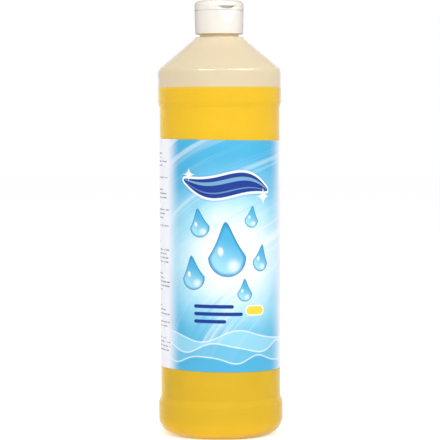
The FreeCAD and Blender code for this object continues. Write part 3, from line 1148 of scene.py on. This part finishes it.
def shaped(name, start, tree, values):
    """The plain mesh that a tree makes from a start mesh; inputs are set by their sockets' identifiers."""
    shaper = bpy.data.objects.new(name + "_shaper", start)
    bpy.context.scene.collection.objects.link(shaper)
    modifier = shaper.modifiers.new("Shape", "NODES")
    modifier.node_group = tree
    identifiers = {
        item.name: item.identifier
        for item in tree.interface.items_tree
        if item.item_type == "SOCKET" and item.in_out == "INPUT"
    }
    for label, value in values.items():
        modifier[identifiers[label]] = value
    depsgraph = bpy.context.evaluated_depsgraph_get()
    evaluated = shaper.evaluated_get(depsgraph)
    mesh = bpy.data.meshes.new_from_object(evaluated, preserve_all_data_layers=True, depsgraph=depsgraph)
    shaper.modifiers.remove(modifier)
    bpy.data.objects.remove(shaper)
    bpy.data.meshes.remove(start)
    if not mesh.polygons:
        raise RuntimeError(f"{name} came out empty")
    mesh.name = name
    return mesh


def joined(name, meshes, material):
    """One mesh of several closed ones, each with its faces turned outwards."""
    whole = bmesh.new()
    for mesh in meshes:
        shape = bmesh.new()
        shape.from_mesh(mesh)
        if shape.calc_volume(signed=True) < 0:
            bmesh.ops.reverse_faces(shape, faces=shape.faces)
        for face in shape.faces:
            face.material_index = 0
            face.smooth = True
        turned = bpy.data.meshes.new(name + "_part")
        shape.to_mesh(turned)
        shape.free()
        whole.from_mesh(turned)
        bpy.data.meshes.remove(turned)
        bpy.data.meshes.remove(mesh)
    made = bpy.data.meshes.new(name)
    whole.to_mesh(made)
    whole.free()
    made.materials.append(material)
    made.set_sharp_from_angle(angle=SHARP_ANGLE)
    return made


def place_piece(name, mesh, body, nodes):
    """Puts a finished mesh in the scene as a piece that rides on a body and stands for its nodes."""
    piece = bpy.data.objects.new(name, mesh)
    bpy.context.scene.collection.objects.link(piece)
    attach(piece, body)
    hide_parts(*nodes)


def rounded_block(name, size, centre, rounding):
    """A closed block with rounded edges."""
    shape = bmesh.new()
    bmesh.ops.create_cube(shape, size=1.0)
    bmesh.ops.scale(shape, vec=size, verts=shape.verts)
    bmesh.ops.bevel(shape, geom=shape.edges[:], offset=rounding, segments=3, profile=0.5, affect="EDGES")
    bmesh.ops.translate(shape, vec=centre, verts=shape.verts)
    mesh = bpy.data.meshes.new(name)
    shape.to_mesh(mesh)
    shape.free()
    return mesh


# Operators


class SOAPBOTTLE_OT_bottle(Operator):
    """Make the blown bottle: its turned shell, the neck's thread and the pinch line under the base"""

    bl_idname = "soapbottle.bottle"
    bl_label = "Bottle"

    def execute(self, context):
        s = context.scene.soap_bottle_sizes
        material = material_for("plastic", natural_plastic, context.scene.soap_bottle_colours, s)
        outside = body_line(s)
        ledge, ledge_bottom = outside[-1][:2]
        ledge_top = ledge_bottom + s.ledge_height
        neck = s.neck_diameter / 2
        bore = s.bore_diameter / 2
        inside = shifted_line(outside, s.wall)
        cone_radius, cone_height, _ = inside[-1]
        slope = math.tan(s.shoulder_angle)
        throat = ledge + s.throat_margin
        inside[-1:] = [
            (throat, cone_height - (throat - cone_radius) * slope, s.step_rounding),
            (bore, ledge_bottom, 0),
        ]
        outside += [
            (ledge, ledge_top, s.ledge_rounding),
            (neck, ledge_top, s.ledge_rounding),
            (neck, LAND_HEIGHT - s.land_chamfer, 0),
            (neck - s.land_chamfer, LAND_HEIGHT, 0),
            (bore, LAND_HEIGHT, 0),
        ]
        shell = shaped(
            "bottle_shell",
            section_mesh("bottle_section", rounded_section(outside + inside[::-1])),
            turned_tree(),
            {"Segments": s.segments, "Ripple": s.wall_ripple, "Material": material},
        )
        thread = shaped(
            "neck_thread",
            bpy.data.meshes.new("thread_start"),
            thread_tree(),
            {
                "Radius": neck,
                "Pitch": s.thread_pitch,
                "Turns": s.thread_turns,
                "Depth": s.thread_depth,
                "Root Width": s.thread_root,
                "Crest Width": s.thread_crest,
                "Foot": LAND_HEIGHT - s.thread_margin - s.thread_pitch * s.thread_turns,
                "Material": material,
            },
        )
        pinch_height = s.pinch_drop + s.wall / 2
        pinch = rounded_block(
            "pinch_line",
            (s.pinch_length, s.pinch_width, pinch_height),
            (0.0, 0.0, s.push_up - s.pinch_drop + pinch_height / 2),
            s.pinch_drop / 2.5,
        )
        whole = joined("blown_bottle", [shell, thread, pinch], material)
        place_piece("blown_bottle", whole, "bottle", BLOWN_NODES)
        return {"FINISHED"}


class SOAPBOTTLE_OT_soap(Operator):
    """Make the soap inside the bottle, with its surface a little higher at the wall"""

    bl_idname = "soapbottle.soap"
    bl_label = "Soap"

    def execute(self, context):
        s = context.scene.soap_bottle_sizes
        material = material_for("soap", golden_soap, context.scene.soap_bottle_colours)
        outline = shifted_line(body_line(s), s.wall + s.soap_gap)[:-2]
        edge = s.body_diameter / 2 - s.wall - s.soap_gap
        top = SOAP_HIGH.z
        surface = top - s.meniscus
        outline += [
            (edge, top, 0),
            (edge - s.meniscus, surface, 1.6 * s.meniscus),
            (edge - 4 * s.meniscus, surface, 0),
            (0, surface, 0),
        ]
        soap = shaped(
            "soap",
            section_mesh("soap_section", rounded_section(outline)),
            turned_tree(),
            {"Segments": s.segments, "Ripple": s.wall_ripple, "Material": material},
        )
        place_piece("soap", joined("soap", [soap], material), "bottle", ["liquid"])
        return {"FINISHED"}


class SOAPBOTTLE_OT_label(Operator):
    """Wrap the printed label round the panel, a little askew, with its seam at the back"""

    bl_idname = "soapbottle.label"
    bl_label = "Label"

    def execute(self, context):
        s = context.scene.soap_bottle_sizes
        inner = s.body_diameter / 2 - s.panel_depth + s.label_gap
        outer = inner + s.label_thickness
        around = 2 * math.pi * outer - s.label_seam
        height = s.panel_height - s.label_bottom - s.label_top
        middle = s.lower_band + s.lower_step + s.label_bottom + height / 2
        flat_size = (around * MILLIMETRES, height * MILLIMETRES)
        material = material_for("label", label_film, context.scene.soap_bottle_colours, *flat_size)
        sheet = shaped(
            "label_sheet",
            bpy.data.meshes.new("label_start"),
            wrap_tree(),
            {
                "Radius": inner,
                "Thickness": s.label_thickness,
                "Length": around,
                "Height": height,
                "Middle Height": middle,
                "Skew": s.label_skew,
                "Front Angle": s.label_turn - math.pi / 2,
                "Material": material,
            },
        )
        label = joined("wrapped_label", [sheet], material)
        place_piece("wrapped_label", label, "bottle", ["label"])
        return {"FINISHED"}


class SOAPBOTTLE_OT_closure(Operator):
    """Finish the closure, the lid and the foam gasket with their materials"""

    bl_idname = "soapbottle.closure"
    bl_label = "Closure, lid and gasket"

    def execute(self, context):
        colours = context.scene.soap_bottle_colours
        for name, seed in (("closure_base", 1.0), ("flip_lid", 2.0)):
            material = material_for(name, white_plastic, colours, name + "_plastic", seed)
            self.finish(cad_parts[name], material)
        self.finish(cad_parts["seal_ring"], material_for("foam", foam, colours))
        return {"FINISHED"}

    def finish(self, node, material):
        node.data.materials.clear()
        node.data.materials.append(material)


class SOAPBOTTLE_OT_hinge(Operator):
    """Make the thin film at the back that joins the lid to the closure"""

    bl_idname = "soapbottle.hinge"
    bl_label = "Hinge film"

    def execute(self, context):
        s = context.scene.soap_bottle_sizes
        colours = context.scene.soap_bottle_colours
        material = material_for("hinge", white_plastic, colours, "hinge_film_plastic", 3.0)
        centre = s.hinge_radius
        # Points of the film's section in metres: out from the hinge axis's radius, and up from its height.
        half = [
            (-0.00029, -0.00064),
            (-0.00013, -0.0006),
            (0.00001, -0.00048),
            (0.00003, -0.00026),
            (0.00006, -0.00016),
            (0.00008, -0.0001),
            (0.00008, -0.00005),
        ]
        inner_half = [(-0.00009, -0.00005), (-0.0001, -0.0001), (-0.00014, -0.00014), (-0.00029, -0.00018)]
        outer = half + [(0.00008, 0.0)] + [(r, -z) for r, z in half[::-1]]
        inner = [(r, -z) for r, z in inner_half[::-1]] + [(-0.00009, 0.0)] + inner_half
        section = outer + inner
        spread = math.asin(s.film_width / 2 / centre)
        middle = math.pi / 2 + s.closure_turn
        columns = 25
        shape = bmesh.new()
        rings = []
        for column in range(columns):
            turn = middle + spread * (2 * column / (columns - 1) - 1)
            places = [((centre + r) * math.cos(turn), (centre + r) * math.sin(turn), z) for r, z in section]
            rings.append([shape.verts.new((x, y, s.hinge_height + z)) for x, y, z in places])
        for first, second in zip(rings, rings[1:]):
            for index in range(len(section)):
                after = (index + 1) % len(section)
                shape.faces.new((first[index], first[after], second[after], second[index]))
        for ring in (rings[0][::-1], rings[-1]):
            shape.faces.new(ring)
        bmesh.ops.recalc_face_normals(shape, faces=shape.faces)
        mesh = bpy.data.meshes.new("hinge_film")
        shape.to_mesh(mesh)
        shape.free()
        film = bpy.data.objects.new("hinge_film", joined("hinge_film", [mesh], material))
        bpy.context.scene.collection.objects.link(film)
        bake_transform(film)
        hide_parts("living_hinge")
        return {"FINISHED"}


class SOAPBOTTLE_OT_stage(Operator):
    """Set up the pale floor, the soft lamps, the white room and the camera"""

    bl_idname = "soapbottle.stage"
    bl_label = "Stage"

    def execute(self, context):
        scene = context.scene
        stage = scene.soap_bottle_stage
        self.floor(stage)
        self.room(scene, stage)
        # Each lamp: name, power, azimuth and elevation in degrees, distance, width and height in metres.
        for name, power, azimuth, elevation, distance, width, height in (
            ("left_lamp", stage.left_lamp, -29.0, 57.0, 1.2, 0.87, 0.46),
            ("right_lamp", stage.right_lamp, 48.0, 57.0, 1.2, 1.33, 0.46),
            ("rim_lamp", stage.rim_lamp, -112.0, 20.0, 1.0, 0.3, 0.9),
            ("front_lamp", stage.front_lamp, 14.0, 14.0, 1.6, 1.6, 1.0),
        ):
            lamp = self.lamp(name, power, azimuth, elevation, distance, width, height)
            lamp.visible_glossy = False
        for name, power, azimuth, width in (
            ("left_gleam", stage.left_gleam, -26.0, 0.5),
            ("right_gleam", stage.right_gleam, 46.0, 0.9),
        ):
            gleam = self.lamp(name, power, azimuth, 42.0, 1.2, width, 0.3)
            gleam.visible_diffuse = False
            gleam.visible_transmission = False
        lens = bpy.data.cameras.new("camera")
        lens.lens = stage.lens
        lens.sensor_width = 36.0
        lens.clip_start = 0.05
        camera = bpy.data.objects.new("camera", lens)
        scene.collection.objects.link(camera)
        tilt = Matrix.Rotation(math.pi / 2 - stage.pitch, 4, "X") @ Matrix.Rotation(stage.roll, 4, "Z")
        camera.matrix_world = Matrix.Translation((0.0, -stage.distance, stage.height)) @ tilt
        scene.camera = camera
        scene.view_settings.view_transform = "Standard"
        return {"FINISHED"}

    def floor(self, stage):
        """A pale floor that keeps the bottle's shadow; a reflection sees it as white as the room."""
        reach = 6.0
        paper, black = (0.92,) * 3, (0.0,) * 3
        corners = [(-reach, -reach, 0), (reach, -reach, 0), (reach, reach, 0), (-reach, reach, 0)]
        mesh = bpy.data.meshes.new("floor")
        mesh.from_pydata(corners, [], [(0, 1, 2, 3)])
        floor = bpy.data.objects.new("floor", mesh)
        bpy.context.scene.collection.objects.link(floor)
        material, build, shader = new_material("floor_paper")
        settle(shader, {"Roughness": 0.9, "Specular IOR Level": 0.0, "Emission Color": WHITE})
        mirrored = build.add("ShaderNodeLightPath").outputs["Is Glossy Ray"]
        build.feed(shader.inputs["Base Color"], build.colour(mirrored, paper, black))
        shown = build.times(looked_at(build), build.between(mirrored, stage.floor_white, 1.0))
        build.feed(shader.inputs["Emission Strength"], shown)
        mesh.materials.append(material)

    def room(self, scene, stage):
        """A room that is white where the camera or a reflection looks at it and softer as a light."""
        world = bpy.data.worlds.new("room")
        world.use_nodes = True
        world.node_tree.nodes.clear()
        build = TreeBuilder(world.node_tree)
        strength = build.between(looked_at(build), stage.room_light, 1.0)
        light = build.add("ShaderNodeBackground", None, {"Color": WHITE, "Strength": strength})
        build.add("ShaderNodeOutputWorld", None, {"Surface": light.outputs[0]})
        scene.world = world

    def lamp(self, name, power, azimuth, elevation, distance, width, height):
        """A soft rectangular lamp that looks at the bottle at about its middle."""
        light = bpy.data.lights.new(name, "AREA")
        light.shape = "RECTANGLE"
        light.size = width
        light.size_y = height
        light.energy = power
        lamp = bpy.data.objects.new(name, light)
        bpy.context.scene.collection.objects.link(lamp)
        a, e = math.radians(azimuth), math.radians(elevation)
        away = Vector((math.sin(a) * math.cos(e), -math.cos(a) * math.cos(e), math.sin(e)))
        aim_height = 0.15
        lamp.location = Vector((0.0, 0.0, aim_height)) + away * distance
        lamp.rotation_euler = away.to_track_quat("Z", "Y").to_euler()
        return lamp


class SOAPBOTTLE_PT_panel(Panel):
    """Lists the sizes, the colours and the operators"""

    bl_label = "Soap Bottle"
    bl_idname = "SOAPBOTTLE_PT_panel"
    bl_space_type = "VIEW_3D"
    bl_region_type = "UI"
    bl_category = "Soap Bottle"

    def draw(self, context):
        layout = self.layout
        for operator in PIECE_OPERATORS:
            layout.operator(operator.bl_idname)
        scene = context.scene
        for group in (scene.soap_bottle_sizes, scene.soap_bottle_colours, scene.soap_bottle_stage):
            box = layout.box()
            for key in group.__annotations__:
                box.prop(group, key)


PROPERTY_GROUPS = (SoapBottleSizes, SoapBottleColours, SoapBottleStage)
PIECE_OPERATORS = (
    SOAPBOTTLE_OT_bottle,
    SOAPBOTTLE_OT_soap,
    SOAPBOTTLE_OT_label,
    SOAPBOTTLE_OT_closure,
    SOAPBOTTLE_OT_hinge,
    SOAPBOTTLE_OT_stage,
)
CLASSES = PROPERTY_GROUPS + PIECE_OPERATORS + (SOAPBOTTLE_PT_panel,)


def register():
    """Adds the classes and the scene's properties."""
    for cls in CLASSES:
        bpy.utils.register_class(cls)
    bpy.types.Scene.soap_bottle_sizes = PointerProperty(type=SoapBottleSizes)
    bpy.types.Scene.soap_bottle_colours = PointerProperty(type=SoapBottleColours)
    bpy.types.Scene.soap_bottle_stage = PointerProperty(type=SoapBottleStage)


def unregister():
    """Takes the classes and the scene's properties away again."""
    del bpy.types.Scene.soap_bottle_stage
    del bpy.types.Scene.soap_bottle_colours
    del bpy.types.Scene.soap_bottle_sizes
    for cls in reversed(CLASSES):
        bpy.utils.unregister_class(cls)


def main():
    """Makes every piece and the stage."""
    register()
    bpy.ops.soapbottle.bottle()
    bpy.ops.soapbottle.soap()
    bpy.ops.soapbottle.label()
    bpy.ops.soapbottle.closure()
    bpy.ops.soapbottle.hinge()
    bpy.ops.soapbottle.stage()


if __name__ == "__main__":
    main()
